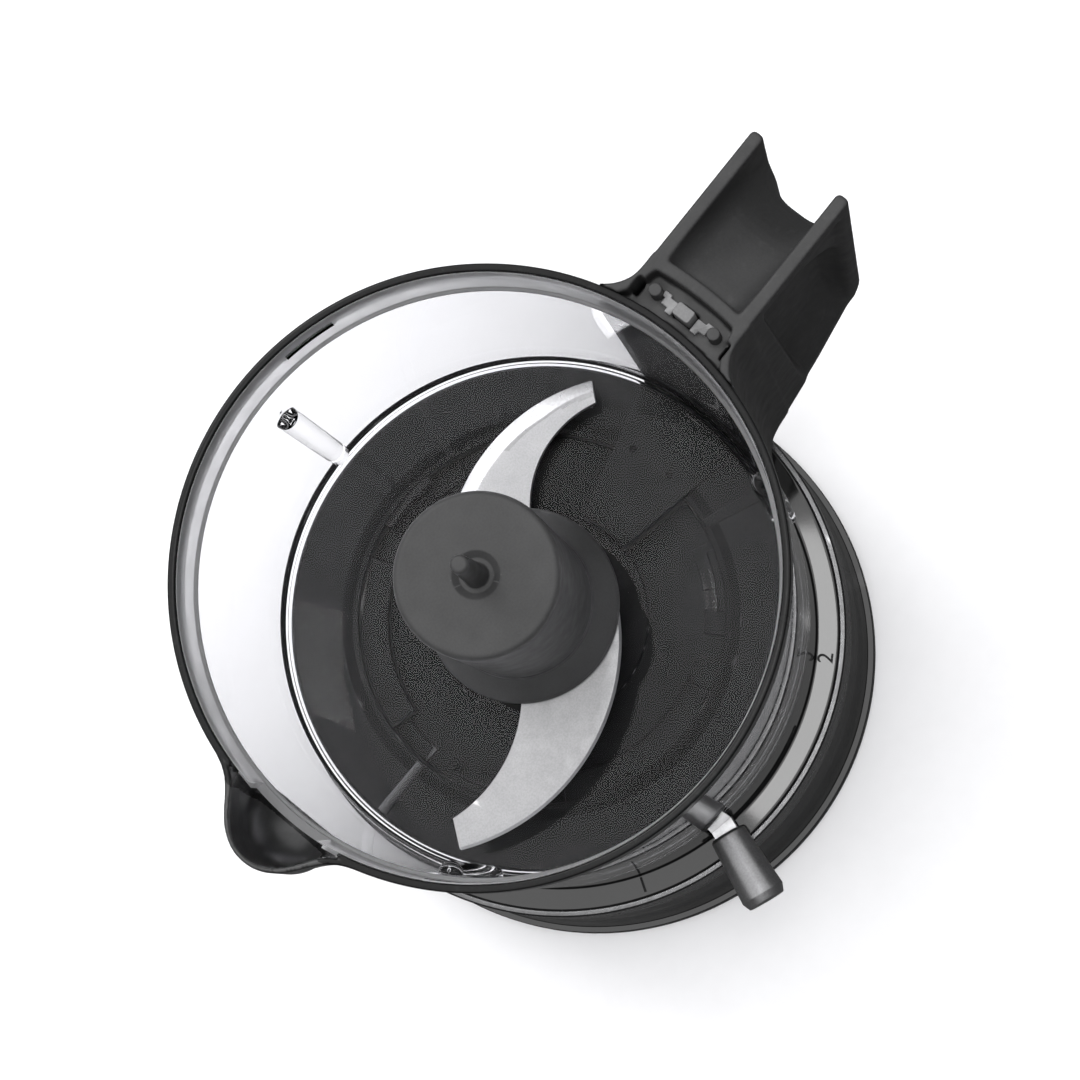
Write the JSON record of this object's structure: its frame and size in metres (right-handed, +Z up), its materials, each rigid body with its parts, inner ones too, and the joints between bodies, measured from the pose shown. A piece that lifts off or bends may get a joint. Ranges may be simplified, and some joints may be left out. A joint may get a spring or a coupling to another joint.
{
  "type": "food processor",
  "caption": "Small food processor with a round motor base, a twist-lock clear bowl with handle and pouring lip, a lift-off chopping blade hub and a side speed lever.",
  "frame": {"origin": "on the spindle axis, on the surface that the base stands on", "axes": "+Z up along the spindle, +X towards the bowl's handle, -Y the front with the speed lever"},
  "size_m": [0.178, 0.152, 0.187],
  "materials": {
    "gloss_black": "polished moulded plastic",
    "black_plastic": "fine texture",
    "band_metal": "bare brushed metal",
    "clear_bowl": "clear moulded plastic with a frosted lip",
    "handle_grey": "fine moulded texture",
    "light_grey": "plain moulded plastic",
    "hub_grey": "fine moulded texture",
    "blade_steel": "bead-blasted face with a ground edge",
    "lever_metal": "satin turned metal",
    "steel": "plain",
    "bronze": "sintered",
    "rubber": "soft matt",
    "white_plastic": "plain moulded plastic",
    "magnet": "ferrite",
    "copper": "enamelled wire and copper bars",
    "carbon": "carbon",
    "board_green": "solder mask",
    "board_parts": "moulded parts"
  },
  "bodies": {
    "base": {"foot_ring": "rubber", "bottom_plate": "black_plastic", "bottom_screws": "steel", "lower_housing": "gloss_black", "cable_gland": "rubber", "trim_band": "band_metal", "upper_housing": "gloss_black", "carrier_plate": "white_plastic", "carrier_screws": "steel", "motor_can": "steel", "motor_end_cap": "white_plastic", "field_magnets": "magnet", "motor_bushes": "bronze", "motor_screws": "steel", "brush_holders": "bronze", "carbon_brushes": "carbon", "circuit_board": "board_green", "board_parts": "board_parts", "start_switch": "black_plastic", "plunger_spring": "steel", "speed_switch": "black_plastic", "lever_pin": "steel", "spindle_bushes": "bronze", "spindle_seal": "rubber"},
    "rotor": {"motor_shaft": "steel", "armature_core": "magnet", "armature_windings": "copper", "commutator": "copper", "pinion": "bronze"},
    "spindle": {"drive_spindle": "steel", "output_gear": "white_plastic", "retaining_clip": "steel"},
    "blades": {"blade_hub": "hub_grey", "hub_core": "light_grey", "lower_blade": "blade_steel", "upper_blade": "blade_steel"},
    "bowl": {"bowl": "clear_bowl", "bowl_handle": "handle_grey", "handle_pins": "handle_grey", "handle_screws": "steel", "rod_guide": "light_grey", "rod_spring": "steel"},
    "rod": {"actuator_rod": "light_grey"},
    "plunger": {"switch_plunger": "white_plastic"},
    "lever": {"lever_arm": "lever_metal", "lever_knob": "lever_metal"}
  },
  "joints": [
    {"name": "spindle_spin", "type": "hinge", "parent": "base", "child": "spindle", "pos_m": [0, 0, 0.08], "axis": [0, 0, 1], "continuous": true},
    {"name": "motor_spin", "type": "hinge", "parent": "base", "child": "rotor", "pos_m": [0, 0.032, 0.04], "axis": [0, 0, 1], "continuous": true},
    {"name": "blade_lift", "type": "slide", "parent": "spindle", "child": "blades", "axis": [0, 0, 1], "range_m": [0, 0.09]},
    {"name": "bowl_twist", "type": "hinge", "parent": "base", "child": "bowl", "pos_m": [0, 0, 0.09], "axis": [0, 0, 1], "range_deg": [-25, 0]},
    {"name": "start_press", "type": "slide", "parent": "bowl", "child": "rod", "axis": [0, 0, -1], "range_m": [0, 0.0028], "stiffness_N_per_m": 300, "springref_m": -0.002, "deforming": ["rod_spring"]},
    {"name": "plunger_press", "type": "slide", "parent": "base", "child": "plunger", "axis": [0, 0, -1], "range_m": [0, 0.0028], "stiffness_N_per_m": 300, "springref_m": -0.002, "deforming": ["plunger_spring"]},
    {"name": "speed_lever", "type": "hinge", "parent": "base", "child": "lever", "pos_m": [0, -0.028, 0.0685], "axis": [0, 0, 1], "range_deg": [0, 40]}
  ],
  "couplings": [
    {"joint": "motor_spin", "follows": "spindle_spin", "ratio": -4.3333},
    {"joint": "plunger_press", "follows": "start_press", "ratio": 1}
  ]
}
